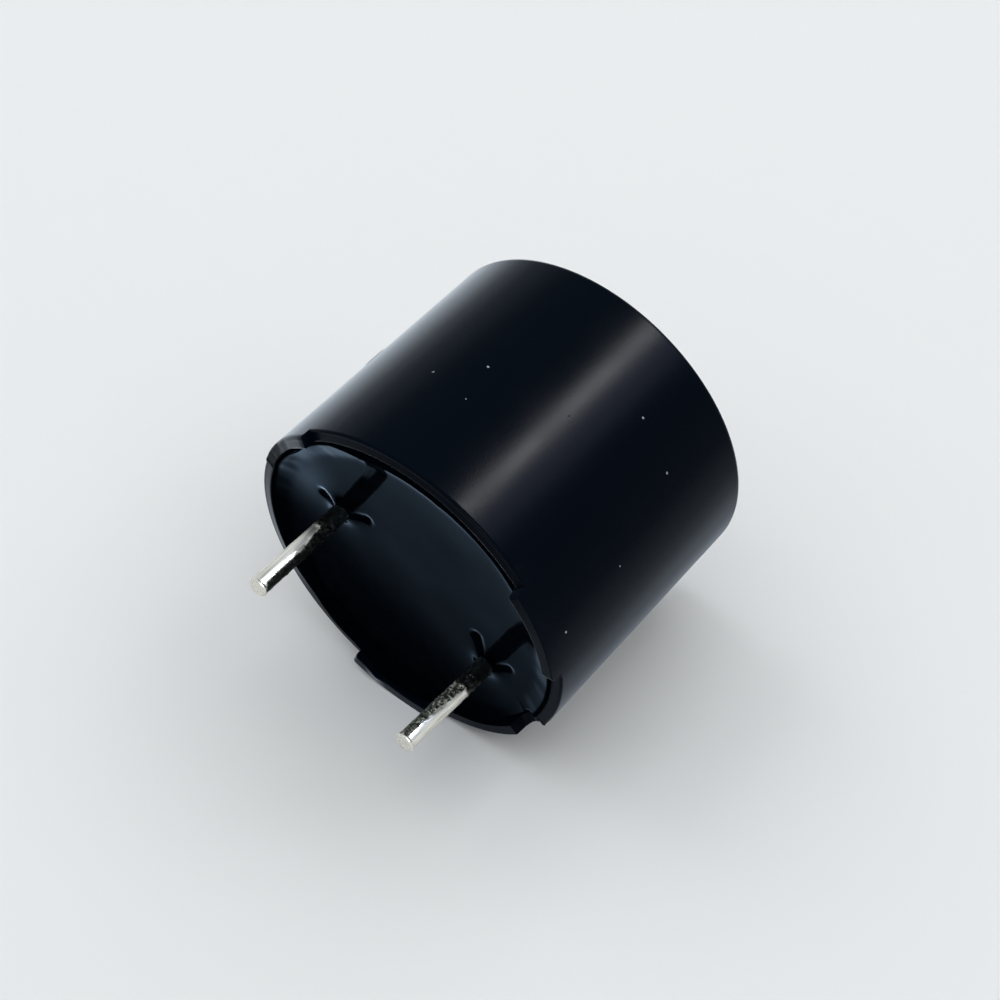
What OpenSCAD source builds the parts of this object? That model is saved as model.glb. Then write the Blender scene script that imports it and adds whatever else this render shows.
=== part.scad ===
// Passive electromagnetic buzzer, 12 mm round, with two leads.
// It stands on its sounding face: z = 0 is the face with the sound hole,
// and +Z runs along the axis, through the sealed base and out along the leads.

/* [Case] */
// Outer diameter of the case
case_d = 12; // [11:0.1:14]
// Height from the sounding face to the plane of the rim
case_h = 9.4; // [9:0.1:12]
// Thickness of the wall at the rim
wall_t = 0.4; // [0.3:0.05:0.6]
// Thickness of the sounding face
face_t = 0.9; // [0.6:0.05:1.2]
// Diameter of the sound hole
sound_hole_d = 2.2; // [1:0.1:4]
// Depth of the air chamber between the sounding face and the ledge
chamber_h = 2; // [1.2:0.1:2.2]
// Width of the ledge that the support ring stands against
ledge_w = 0.8; // [0.6:0.05:1]
// Chamfer on the outer edge of the sounding face
face_chamfer = 0.12; // [0.05:0.01:0.3]

/* [Standoffs] */
// Number of standoffs on the rim
standoff_n = 3; // [2:1:4]
// Height of a standoff above the rim
standoff_h = 0.4; // [0.2:0.05:0.6]
// Angle that one standoff spans
standoff_arc = 33; // [20:1:50]
// Direction of the middle of the first standoff, from the +X lead
standoff_turn = 112.5; // [100:0.5:125]
// Radius of the rounded corners of a standoff
standoff_corner_r = 0.15; // [0.05:0.01:0.2]
// Height that wear has taken off the low end of the worn standoff
wear_drop = 0.33; // [0.1:0.01:0.4]

/* [Chip in the rim] */
// Direction of the middle of the chip
chip_turn = 173.5; // [165:0.5:180]
// Depth of the chip below the rim
chip_depth = 0.6; // [0.2:0.05:0.9]
// Width of the chip along the rim
chip_w = 1.9; // [0.8:0.1:2.4]
// Thickness of seal that broke away behind the chip
chip_into_seal = 0.3; // [0.1:0.05:0.6]

/* [Sound generator] */
// Diametral clearance of what stands in the bore of the case
bore_clearance = 0.1; // [0.04:0.02:0.2]
// Thickness of the support ring's wall
ring_wall = 0.65; // [0.55:0.05:0.8]
// Width of the lip that centres the diaphragm
ring_lip_w = 0.4; // [0.3:0.05:0.45]
// Thickness of the diaphragm
diaphragm_t = 0.08; // [0.05:0.01:0.12]
// Room that the diaphragm has under the ledge, to vibrate
diaphragm_play = 0.05; // [0.03:0.01:0.1]
// Diameter of the armature disc
armature_d = 4.4; // [3:0.1:6]
// Thickness of the armature disc
armature_t = 0.4; // [0.2:0.05:0.6]
// Air gap between the diaphragm and the pole
air_gap = 0.3; // [0.2:0.02:0.5]
// Thickness of the magnet ring's wall
magnet_wall = 1.15; // [0.8:0.05:1.3]
// Clearance round the magnet ring
magnet_clearance = 0.15; // [0.05:0.05:0.3]
// Distance from the diaphragm's seat to the magnet ring
magnet_drop = 0.5; // [0.4:0.05:1]
// Diameter of the pole core
core_d = 2.6; // [2:0.1:3]
// Diameter of the core's staked tail
core_tail_d = 1.6; // [1.2:0.1:1.8]
// Diameter of the staked head
staked_head_d = 2.3; // [1.9:0.1:2.5]
// Thickness of the staked head
staked_head_t = 0.25; // [0.15:0.05:0.4]
// Thickness of the yoke plate
yoke_t = 0.8; // [0.6:0.05:0.9]

/* [Coil] */
// Clearance between the core and the bobbin
bobbin_clearance = 0.05; // [0.02:0.01:0.1]
// Wall of the bobbin's tube
bobbin_wall = 0.35; // [0.25:0.05:0.5]
// Thickness of a bobbin flange
flange_t = 0.35; // [0.25:0.05:0.5]
// Gap between the bobbin's flanges and the magnet ring
flange_gap = 0.25; // [0.15:0.05:0.4]
// Distance from the pole's tip to the bobbin
bobbin_drop = 0.25; // [0.1:0.05:0.4]
// Depth of the winding's surface below the flanges' edge
winding_recess = 0.25; // [0.15:0.05:0.4]
// Pitch of the turns that show on the winding
turn_pitch = 0.2; // [0.1:0.01:0.3]
// Diameter of the coil's lead-out wires
coil_wire_d = 0.12; // [0.08:0.01:0.16]
// Gap that the seal fills between a lead-out wire and the board
coil_wire_gap = 0.06; // [0.03:0.01:0.1]

/* [Terminal board and leads] */
// Thickness of the terminal board
board_t = 0.8; // [0.6:0.05:0.9]
// Distance between the two leads
lead_pitch = 6.5; // [6:0.1:7]
// Distance of the pair's middle from the axis, along X
lead_offset = -0.15; // [-0.3:0.05:0.3]
// Diameter of a lead
lead_d = 0.6; // [0.5:0.02:0.6]
// Diameter of a lead at the board, from where it tapers to its free end
lead_root_d = 0.72; // [0.64:0.02:0.8]
// Length of a lead beyond the plane of the rim
lead_out = 3.65; // [2:0.05:8]
// Diameter of a lead's upset head
lead_head_d = 1; // [0.9:0.05:1.1]
// Thickness of a lead's upset head
lead_head_t = 0.2; // [0.1:0.05:0.3]
// Bevel round a lead's cut end
lead_end_bevel = 0.06; // [0.02:0.01:0.12]
// Clearance of the lead in the board
lead_clearance = 0.04; // [0.02:0.01:0.08]
// Air round a lead's head in the yoke plate
lead_head_air = 0.25; // [0.15:0.05:0.35]
// Diameter of the holes that the coil's wires pass through
wire_hole_d = 0.8; // [0.6:0.05:0.9]
// Radius of a solder joint on the board
solder_r = 0.85; // [0.7:0.05:1]
// Height of a solder joint
solder_h = 0.5; // [0.3:0.05:0.6]

/* [Seal] */
// Thickness of the seal over the terminal board
seal_t = 1.18; // [0.9:0.02:1.4]
// Depth of the seal's surface below the rim
seal_recess = 0.22; // [0.1:0.02:0.4]
// Rise of the seal's edge where it wets the wall
seal_edge_rise = 0.12; // [0.04:0.02:0.2]
// Width of that rise
seal_edge_w = 0.55; // [0.3:0.05:0.8]
// Radius of the seal's fillet round a lead
seal_fillet_r = 0.7; // [0.4:0.05:0.9]
// Thickness of the seal where it ends on a lead
seal_film_t = 0.04; // [0.02:0.01:0.08]

/* [Hidden] */
$fn = 96;
over = 0.5;
arc_steps = 8;
corner_steps = 4;

// Radii, from the case inwards
case_r = case_d / 2;
bore_r = case_r - wall_t;
chamber_r = bore_r - ledge_w;
stack_r = bore_r - bore_clearance / 2;
ring_in_r = stack_r - ring_wall;
seat_r = stack_r - ring_lip_w;
diaphragm_r = seat_r - diaphragm_play;
magnet_r = ring_in_r - magnet_clearance;
magnet_in_r = magnet_r - magnet_wall;
flange_r = magnet_in_r - flange_gap;
winding_r = flange_r - winding_recess;
tube_in_r = core_d / 2 + bobbin_clearance;
tube_r = tube_in_r + bobbin_wall;

// Heights of the base, from the rim down to the plates that the seal holds in
standoff_z = case_h + standoff_h;
tip_z = case_h + lead_out;
seal_z = case_h - seal_recess;
root_z = seal_z + seal_fillet_r;
back_z = seal_z - seal_t;
board_z = back_z - board_t;
yoke_z = board_z - yoke_t;

// Heights of the generator, from the sounding face up
ledge_z = face_t + chamber_h;
seat_z = ledge_z + diaphragm_play + diaphragm_t;
core_z = seat_z + air_gap;
bobbin_z = core_z + bobbin_drop;
magnet_z = seat_z + magnet_drop;

// Leads and coil wires
lead_r = lead_d / 2;
root_r = lead_root_d / 2;
lead_x = [lead_offset + lead_pitch / 2, lead_offset - lead_pitch / 2];
wire_r = coil_wire_d / 2;
wire_hole_y = winding_r + wire_r;
staked_hole_r = staked_head_d / 2 + 0.2;

// Standoff that has worn down, counted from the first one clockwise
worn_standoff = 1;

// Amount that a corner's cutter passes the faces it rounds, so that they cross
corner_pass = 0.01;

// Disc or tube that stands on z
module tube(z, h, r, bore = 0) {
    translate([0, 0, z])
        difference() {
            cylinder(h = h, r = r);
            if (bore > 0)
                translate([0, 0, -over]) cylinder(h = h + 2 * over, r = bore);
        }
}

// Round wire through a list of points
module wire(points, r) {
    for (i = [0 : len(points) - 2]) {
        step = points[i + 1] - points[i];
        length = norm(step);
        translate(points[i])
            rotate([0, acos(step.z / length), atan2(step.y, step.x)])
                cylinder(h = length, r = r, $fn = 24);
    }
    for (i = [1 : len(points) - 2])
        translate(points[i]) sphere(r = r, $fn = 24);
}

// Cup with a sound hole, a ledge for the generator and a thin open rim
module case_cup() {
    difference() {
        rotate_extrude()
            polygon([
                [0, 0], [case_r - face_chamfer, 0], [case_r, face_chamfer],
                [case_r, standoff_z], [bore_r, standoff_z], [bore_r, ledge_z],
                [chamber_r, ledge_z], [chamber_r, face_t], [0, face_t]
            ]);
        translate([0, 0, -over]) cylinder(h = face_t + 2 * over, d = sound_hole_d);
    }
}

// Cutter for the low stretch of rim from one standoff to the next
module rim_gap() {
    rotate([0, 0, standoff_arc / 2])
        rotate_extrude(angle = 360 / standoff_n - standoff_arc)
            translate([bore_r - over, case_h]) square([wall_t + 2 * over, standoff_h + over]);
}

// Outline pushed through the wall; its own X runs round the rim and its Y up the axis
module through_wall(z, from_r = bore_r - over) {
    translate([from_r, 0, z])
        rotate([90, 0, 90])
            linear_extrude(height = case_r + over - from_r) children();
}

// Cutter that rounds the upper corners of a standoff
module corner_cutters() {
    for (end = [0, 1])
        mirror([0, end, 0])
            rotate([0, 0, standoff_arc / 2])
                through_wall(standoff_z)
                    translate([corner_pass, corner_pass]) polygon(concat(
                        [for (i = [0 : corner_steps])
                            let (a = 90 * i / corner_steps)
                            standoff_corner_r * [sin(a) - 1, cos(a) - 1]],
                        [[over, -standoff_corner_r], [over, over], [-standoff_corner_r, over]]
                    ));
}

// Sloping cut that leaves one standoff low at its far end
module wear_cutter() {
    half_w = case_r * sin(standoff_arc / 2);
    slope = atan(wear_drop / (2 * half_w));
    translate([bore_r - over, half_w, standoff_z - wear_drop])
        rotate([-slope, 0, 0])
            translate([0, -2 * half_w - over, 0])
                cube([wall_t + 2 * over, 2 * half_w + 2 * over, standoff_h + over]);
}

// Broken outline of the chip, pushed through the wall and the edge of the seal
module chip_cutter() {
    rotate([0, 0, chip_turn])
        through_wall(case_h, bore_r - chip_into_seal)
            polygon([
                [-chip_w * 0.42, over], [-chip_w * 0.4, -chip_depth * 0.65],
                [-chip_w * 0.3, -chip_depth], [-chip_w * 0.12, -chip_depth * 0.97],
                [chip_w * 0.1, -chip_depth * 0.7], [chip_w * 0.4, -chip_depth * 0.22],
                [chip_w * 0.76, chip_depth * 0.22], [chip_w * 0.76, over]
            ]);
}

module case() {
    color("#141518")
        difference() {
            case_cup();
            for (i = [0 : standoff_n - 1])
                rotate([0, 0, standoff_turn - i * 360 / standoff_n]) {
                    rim_gap();
                    corner_cutters();
                    if (i == worn_standoff) wear_cutter();
                }
            chip_cutter();
        }
}

module diaphragm() {
    color("#b9bcbd") tube(seat_z - diaphragm_t, diaphragm_t, diaphragm_r);
}

module armature() {
    color("#8d9092") tube(seat_z - diaphragm_t - armature_t, armature_t, armature_d / 2);
}

// Ring with a stepped seat that holds the diaphragm at its edge
module support_ring() {
    color("#b8923f")
        rotate_extrude()
            polygon([
                [ring_in_r, seat_z], [seat_r, seat_z], [seat_r, ledge_z],
                [stack_r, ledge_z], [stack_r, yoke_z], [ring_in_r, yoke_z]
            ]);
}

module magnet_ring() {
    color("#3a3836") tube(magnet_z, yoke_z - magnet_z, magnet_r, magnet_in_r);
}

// Core with a thin tail through the yoke plate and a staked head behind it
module pole_core() {
    color("#9a9da0") {
        tube(core_z, yoke_z - core_z, core_d / 2);
        tube(yoke_z, yoke_t, core_tail_d / 2);
        tube(board_z, staked_head_t, staked_head_d / 2);
    }
}

module yoke_plate() {
    color("#a3a5a3")
        difference() {
            tube(yoke_z, yoke_t, stack_r, core_tail_d / 2);
            wire_holes(yoke_z, yoke_t);
            for (x = lead_x)
                translate([x, 0, yoke_z - over])
                    cylinder(h = yoke_t + 2 * over, r = lead_head_d / 2 + lead_head_air);
        }
}

// Passage for the coil's two wires through a plate
module wire_holes(z, h) {
    for (side = [-1, 1])
        translate([0, side * wire_hole_y, z - over])
            cylinder(h = h + 2 * over, d = wire_hole_d);
}

module coil_bobbin() {
    color("#e4ddc8")
        difference() {
            union() {
                tube(bobbin_z, yoke_z - bobbin_z, tube_r, tube_in_r);
                tube(bobbin_z, flange_t, flange_r, tube_in_r);
                tube(yoke_z - flange_t, flange_t, flange_r, tube_in_r);
            }
            wire_holes(yoke_z - flange_t, flange_t);
        }
}

// Winding with the turns of its outer layer as ridges
module coil_winding() {
    low = bobbin_z + flange_t;
    span = yoke_z - flange_t - low;
    turns = floor(span / turn_pitch);
    pitch = span / turns;
    ridge = pitch / 4;
    color("#a8592c")
        rotate_extrude()
            polygon(concat(
                [[tube_r, low + span], [tube_r, low]],
                [for (i = [0 : turns - 1], p = [[0, 0], [0.3, 1], [0.7, 1]])
                    [winding_r - ridge + ridge * p[1], low + (i + p[0]) * pitch]],
                [[winding_r - ridge, low + span]]
            ));
}

module terminal_board() {
    color("#8a6a3c")
        difference() {
            tube(board_z, board_t, stack_r, staked_hole_r);
            wire_holes(board_z, board_t);
            for (x = lead_x)
                translate([x, 0, board_z - over])
                    cylinder(h = board_t + 2 * over, r = root_r + lead_clearance);
        }
}

// Tapered root of a lead, held in the board, the solder and the seal
module lead_root(x) {
    translate([x, 0, board_z])
        cylinder(h = root_z - board_z, r1 = root_r, r2 = lead_r);
}

// Tinned wire with an upset head, a tapered root and a free end cut off square
module lead(x) {
    color("#c9cac6") {
        lead_root(x);
        translate([x, 0, 0]) {
            tube(board_z - lead_head_t, lead_head_t, lead_head_d / 2);
            tube(root_z, tip_z - lead_end_bevel - root_z, lead_r);
            translate([0, 0, tip_z - lead_end_bevel])
                cylinder(h = lead_end_bevel, r1 = lead_r, r2 = lead_r - lead_end_bevel);
        }
    }
}

module pin_1() {
    lead(lead_x[0]);
}

module pin_2() {
    lead(lead_x[1]);
}

// Wire from the winding, through yoke and board, along the board into the solder
module coil_wire(x, side) {
    back = back_z + coil_wire_gap + wire_r;
    reach = [x, 0, back] - [0, side * wire_hole_y, back];
    joint = norm(reach);
    wire([
        [0, side * wire_hole_y, bobbin_z + flange_t + wire_r],
        [0, side * wire_hole_y, back],
        [0, side * wire_hole_y, back] + reach * (joint - solder_r / 2) / joint
    ], wire_r);
}

module coil_lead_1() {
    color("#b4552a") coil_wire(lead_x[0], 1);
}

module coil_lead_2() {
    color("#b4552a") coil_wire(lead_x[1], -1);
}

// Cone of solder, hollowed like a wetted fillet, round a lead
module solder_cone(x) {
    translate([x, 0, back_z])
        rotate_extrude()
            polygon(concat(
                [[0, solder_h], [0, 0]],
                [for (i = [0 : arc_steps])
                    let (a = 90 * i / arc_steps)
                    [solder_r - (solder_r - root_r) * sin(a), solder_h * (1 - cos(a))]]
            ));
}

module solder_joint(x, side) {
    color("#b7b9b6")
        difference() {
            solder_cone(x);
            lead_root(x);
            coil_wire(x, side);
        }
}

module solder_joint_1() {
    solder_joint(lead_x[0], 1);
}

module solder_joint_2() {
    solder_joint(lead_x[1], -1);
}

// Cast surface: flat, with a raised edge where the resin wets the wall
module seal_body() {
    rotate_extrude()
        polygon(concat(
            [[0, seal_z], [0, back_z], [bore_r, back_z]],
            [for (i = [0 : arc_steps])
                let (a = 90 * i / arc_steps)
                [bore_r - seal_edge_w * sin(a), seal_z + seal_edge_rise * (1 - sin(a))]]
        ));
}

// Hollow fillet of resin that climbs a lead
module seal_fillet(x) {
    top_r = lead_r + seal_film_t;
    translate([x, 0, seal_z])
        rotate_extrude()
            polygon(concat(
                [[0, seal_fillet_r], [0, -seal_recess], [top_r + seal_fillet_r, -seal_recess]],
                [for (i = [0 : arc_steps])
                    let (a = 90 * i / arc_steps)
                    [top_r + seal_fillet_r * (1 - sin(a)), seal_fillet_r * (1 - cos(a))]]
            ));
}

// Resin that closes the base over the board, the joints and the wires
module base_seal() {
    color("#0c0d10")
        difference() {
            union() {
                seal_body();
                for (x = lead_x) seal_fillet(x);
            }
            for (i = [0, 1]) {
                solder_cone(lead_x[i]);
                lead_root(lead_x[i]);
                coil_wire(lead_x[i], 1 - 2 * i);
            }
            chip_cutter();
        }
}

case();
diaphragm();
armature();
support_ring();
magnet_ring();
pole_core();
yoke_plate();
coil_bobbin();
coil_winding();
terminal_board();
pin_1();
pin_2();
coil_lead_1();
coil_lead_2();
solder_joint_1();
solder_joint_2();
base_seal();
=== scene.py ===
"""Passive magnetic buzzer: a black moulded case on its side, its resin-sealed base and two tinned leads."""

import math

import bmesh
import bpy
import numpy as np
from mathutils import Matrix, Vector


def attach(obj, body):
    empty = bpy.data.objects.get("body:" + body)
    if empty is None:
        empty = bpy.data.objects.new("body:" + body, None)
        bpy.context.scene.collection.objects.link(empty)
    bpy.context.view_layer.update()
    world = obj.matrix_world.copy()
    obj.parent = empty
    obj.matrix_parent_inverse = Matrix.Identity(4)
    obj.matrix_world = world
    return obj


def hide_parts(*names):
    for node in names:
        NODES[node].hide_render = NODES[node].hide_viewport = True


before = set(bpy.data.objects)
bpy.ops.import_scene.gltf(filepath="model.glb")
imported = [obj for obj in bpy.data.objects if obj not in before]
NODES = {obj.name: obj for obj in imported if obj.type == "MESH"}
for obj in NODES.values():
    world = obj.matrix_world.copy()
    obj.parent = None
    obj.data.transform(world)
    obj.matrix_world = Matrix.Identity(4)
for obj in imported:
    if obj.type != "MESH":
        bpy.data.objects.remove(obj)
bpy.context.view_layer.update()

# ---------------------------------------------------------------- sizes, in mm and degrees

MM = 0.001
CASE_R = 6.0
BORE_R = 5.6
RIM_Z = 9.4
CASE_MIDDLE_Z = 6.0
FACE_T = 0.9
FACE_ROUND = 0.12
SOUND_HOLE_R = 1.1
CHAMBER_R = 4.8
LEDGE_Z = 2.9
LEAD_R = 0.3
LEAD_X = (3.1, -3.4)
LEAD_LEAN = (0.02, 0.12)
TIP_Z = 13.05

# Standoffs on the rim, by the direction of each one's middle
STANDOFF_AT = (112.5, -7.5, -127.5)
STANDOFF_ARC = 33.0
STANDOFF_H = 0.4
STANDOFF_CORNER = 0.15

# Top of the worn standoff above the rim, by the angle from its middle
WORN_STANDOFF = 1
WORN_HEIGHT = (
    (-16.5, 0.34), (-14.5, 0.33), (-9.0, 0.24), (-3.0, 0.15), (4.0, 0.11), (11.0, 0.1), (16.5, 0.05),
)

# Notch broken out of the rim, with its outline in shares of its width and depth
CHIP_AT = 173.5
CHIP_DEPTH = 0.6
CHIP_W = 1.9
CHIP_OUTLINE = ((-0.44, 0.0), (-0.4, 0.65), (-0.3, 1.0), (-0.12, 0.97), (0.1, 0.7), (0.4, 0.22), (0.58, 0.0))
CHIP_SLANT = 1.08
TORN_OUT = 0.025
TORN_IN = 0.04

# How far the edges of the rim are rounded, and how far the inner one leans up
BEVEL_OUT = 0.08
BEVEL_CRISP = 0.02
BEVEL_WORN = 0.14
BEVEL_BROKEN = 0.012
BEVEL_IN = 0.04
RIM_LEAN = 0.05

# Stretches of the rim: a middle, the angle reached to either side and, for some, the angle they fade out over
CRISP_SIDE = (115.0, 60.0)
CRISP_STANDOFF = (STANDOFF_AT[2], STANDOFF_ARC / 2 + 1.0)
WORN_CORNER = (-14.0, 10.0)
WORN_STRETCH = (STANDOFF_AT[WORN_STANDOFF], STANDOFF_ARC / 2 + 1.5, 2.0)
SCUFFED_SIDE = (135.0, 42.0)
SCUFFED_STANDOFF = (-125.0, 20.0)
# Painted shade: the side of the case, over its whole height, where its reflections are dimmed
PAINTED_SHADE_SIDE = (178.0, 58.0, 30.0)
LEANING_SIDE = (-30.0, 100.0, 20.0)
LEANING_NICK = 106.0

# How worn the case is on those and in the chip, and how far painted shade dims one side of it, up to 1: both
# take gloss, and past the painted shade's level it greys
WEAR_AND_SHADE_DULL = 0.75
WEAR_SCUFFED_SIDE = 0.6
WEAR_SCUFFED_STANDOFF = 0.7
WEAR_CHIP = 0.8

# Resin: level of its surface, its dish, and how it climbs the wall, the standoffs and the leads
SEAL_Z = 9.18
SEAL_BACK_Z = 8.0
SEAL_R = BORE_R - 0.003
DISH_R = 120.0
DISH_DEPTH = 0.1
WALL_RISE = 0.09
WALL_REACH = 0.8
WALL_FILLET = 0.62
WALL_FOOT = 0.06
WALL_SLOPE = 0.25
STANDOFF_CLIMB = 0.22
STANDOFF_CLIMB_ARC = 13.0
LEAD_CLIMB_R = 0.6
LEAD_CLIMB_FOOT = 0.08
LEAD_CLIMB_SLOPE = 0.25
LEAD_CLIMB_TAIL = 0.03
RIPPLE = 0.006

# Sunken lobes of the resin beside the leads: lead, direction, reach from its axis and half width
LOBES = ((0, 8.0, 1.0, 0.18), (0, -137.0, 1.2, 0.18), (1, -37.0, 1.3, 0.22), (1, -122.0, 1.15, 0.15))
LOBE_START = 0.35
LOBE_DEPTH = 0.035

# Painted shade in the resin's gloss: where along Y its reflections are least and where full, and the dark
# band by the wall, which is wider on one side
PAINTED_SHADE_LEAST = 0.1
PAINTED_SHADE_Y = 3.2
PAINTED_SHADE_END_Y = -1.4
WALL_PAINTED_SHADE = (0.14, 0.6)
WIDE_PAINTED_SHADE_SIDE = (-88.0, 57.0, 10.0)

# Painted highlight and painted shade patches in the resin's gloss: place along X and Y, reach along X and Y,
# and amount
SEAL_PAINTED_HIGHLIGHT = (4.6, 0.0, 0.8, 1.0, 3.0)
SEAL_PAINTED_SHADE = ((-3.75, -3.2, 0.4, 0.4, 0.85), (5.35, -0.35, 0.3, 0.7, 0.75), (-4.85, -1.9, 0.5, 0.8, 0.5))

# ---------------------------------------------------------------- camera

CAMERA_AT = Vector((1.667, -53.307, 35.340)) * MM
CAMERA_RIGHT = Vector((-0.68496, -0.37838, -0.62262))
CAMERA_DOWN = Vector((-0.72805, 0.32254, 0.60492))
CAMERA_AHEAD = Vector((-0.02807, 0.86764, -0.49640))
CAMERA_LENS = 68.99
SENSOR_W = 36.0

# The surface that the buzzer lies on touches the side of its case
TABLE_UP = Vector((0.4836, -0.8753, 0.0)).normalized()
TABLE_AT = -CASE_R * MM * TABLE_UP
TABLE_HALF = 0.35
CASE_AXIS = Vector((0.0, 0.0, 1.0))


def add_camera():
    data = bpy.data.cameras.new("camera")
    data.lens = CAMERA_LENS
    data.sensor_width = SENSOR_W
    data.clip_start = MM
    camera = bpy.data.objects.new("camera", data)
    axes = Matrix((CAMERA_RIGHT, -CAMERA_DOWN, -CAMERA_AHEAD)).transposed()
    camera.matrix_world = Matrix.Translation(CAMERA_AT) @ axes.to_4x4()
    bpy.context.scene.collection.objects.link(camera)
    bpy.context.scene.camera = camera


# ---------------------------------------------------------------- nodes and colours


def linear(code):
    """An sRGB hex colour as linear RGBA."""
    parts = [int(code[i : i + 2], 16) / 255 for i in (1, 3, 5)]
    return tuple(c / 12.92 if c <= 0.04045 else ((c + 0.055) / 1.055) ** 2.4 for c in parts) + (1.0,)


def add_node(tree, kind, settings=None, inputs=None, links=None):
    """Adds a node; inputs gives constants by socket name or number, links the sockets that feed it."""
    node = tree.nodes.new(kind)
    for key, value in (settings or {}).items():
        setattr(node, key, value)
    for key, value in (inputs or {}).items():
        node.inputs[key].default_value = value
    for key, socket in (links or {}).items():
        tree.links.new(socket, node.inputs[key])
    return node


def new_material(name):
    material = bpy.data.materials.new(name)
    material.use_nodes = True
    material.node_tree.nodes.clear()
    return material, material.node_tree


def finish_material(tree, shader):
    add_node(tree, "ShaderNodeOutputMaterial", links={"Surface": shader.outputs[0]})


def object_coords(tree):
    return add_node(tree, "ShaderNodeTexCoord").outputs["Object"]


def set_ramp(node, stops):
    """Gives a colour ramp its stops, each a place and an sRGB hex or a grey level."""
    ramp = node.color_ramp
    while len(ramp.elements) > len(stops):
        ramp.elements.remove(ramp.elements[-1])
    while len(ramp.elements) < len(stops):
        ramp.elements.new(1.0)
    for element, (place, value) in zip(ramp.elements, stops):
        element.position = place
        element.color = linear(value) if isinstance(value, str) else (value, value, value, 1.0)


# ---------------------------------------------------------------- materials

# Gloss of each black against the share of light that clear gloss sends back at that angle
CASE_GLOSS = ((0.06, 0.0), (0.094, 0.013), (0.13, 0.045), (0.17, 0.11), (0.21, 0.18), (0.4, 0.42), (1.0, 1.0))
SEAL_GLOSS = ((0.07, 0.0), (0.09, 0.011), (0.11, 0.024), (0.14, 0.06), (0.2, 0.2), (0.4, 0.5), (1.0, 1.0))
CLEAR_GLOSS_IOR = 1.5


def per_mm(size):
    """Noise scale, per metre of Object coordinates, that gives features of a size in mm."""
    return 1.0 / (size * MM)


def black_gloss(tree, bloom, tint, curve, gloss_and_painted_reflection, links):
    """Shader of a black whose gloss is nearly none where it faces the eye and full where the eye grazes it.

    bloom is the little gloss that it keeps at every angle.
    """
    body = add_node(tree, "ShaderNodeBsdfPrincipled",
                    inputs={"IOR": CLEAR_GLOSS_IOR, "Specular IOR Level": bloom}, links=links)
    sheen = add_node(tree, "ShaderNodeBsdfPrincipled", inputs={"Metallic": 1.0, "Base Color": linear(tint)},
                     links={key: socket for key, socket in links.items() if key != "Base Color"})
    fresnel = add_node(tree, "ShaderNodeFresnel", inputs={"IOR": CLEAR_GLOSS_IOR})
    share = add_node(tree, "ShaderNodeValToRGB", links={"Fac": fresnel.outputs[0]})
    set_ramp(share, curve)
    amount = add_node(tree, "ShaderNodeMath", {"operation": "MULTIPLY"},
                      links={0: share.outputs["Color"], 1: gloss_and_painted_reflection})
    return add_node(tree, "ShaderNodeMixShader",
                    links={0: amount.outputs[0], 1: body.outputs[0], 2: sheen.outputs[0]})


def moulded_pbt():
    """PBT moulded satin black: the eye gets a soft streak, pale grazing edges and fine rubbed scratches; on
    one side painted shade dims its gloss.
    """
    material, tree = new_material("PBT moulded satin black")
    coords = object_coords(tree)
    grain = add_node(tree, "ShaderNodeTexNoise", inputs={"Scale": per_mm(0.05), "Detail": 2.0},
                     links={"Vector": coords})
    patches = add_node(tree, "ShaderNodeTexNoise", inputs={"Scale": per_mm(1.6), "Detail": 3.0},
                       links={"Vector": coords})
    gloss = add_node(tree, "ShaderNodeMapRange", inputs={"To Min": 0.2, "To Max": 0.3},
                     links={"Value": patches.outputs["Fac"]})
    bump = add_node(tree, "ShaderNodeBump", inputs={"Strength": 0.6, "Distance": 0.004 * MM},
                    links={"Height": grain.outputs["Fac"]})
    worn = add_node(tree, "ShaderNodeAttribute", {"attribute_name": "worn"})
    mottle = add_node(tree, "ShaderNodeTexNoise",
                      inputs={"Scale": per_mm(0.14), "Detail": 4.0, "Roughness": 0.65},
                      links={"Vector": coords})
    mottle_tone = add_node(tree, "ShaderNodeValToRGB", links={"Fac": mottle.outputs["Fac"]})
    set_ramp(mottle_tone, [(0.4, "#050608"), (0.6, "#101214"), (0.72, "#3c3d3e")])
    scuffed = add_node(tree, "ShaderNodeMapRange", inputs={"From Min": WEAR_AND_SHADE_DULL},
                       links={"Value": worn.outputs["Fac"]})
    tone = add_node(tree, "ShaderNodeMix", {"data_type": "RGBA"}, inputs={"A": linear("#020812")},
                    links={"Factor": scuffed.outputs["Result"], "B": mottle_tone.outputs["Color"]})
    rough = add_node(tree, "ShaderNodeMath", {"operation": "MULTIPLY_ADD"}, inputs={1: 0.25},
                     links={0: worn.outputs["Fac"], 2: gloss.outputs["Result"]})
    # Wear, and painted shade along one side, take the gloss away
    gloss_and_painted_reflection = add_node(tree, "ShaderNodeMath", {"operation": "MULTIPLY_ADD"}, inputs={1: -0.85, 2: 1.0},
                     links={0: worn.outputs["Fac"]})
    shader = black_gloss(tree, 0.02, "#e2f0ff", CASE_GLOSS, gloss_and_painted_reflection.outputs[0],
                         {"Base Color": tone.outputs["Result"], "Roughness": rough.outputs[0],
                          "Normal": bump.outputs["Normal"]})
    finish_material(tree, shader)
    return material


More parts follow.
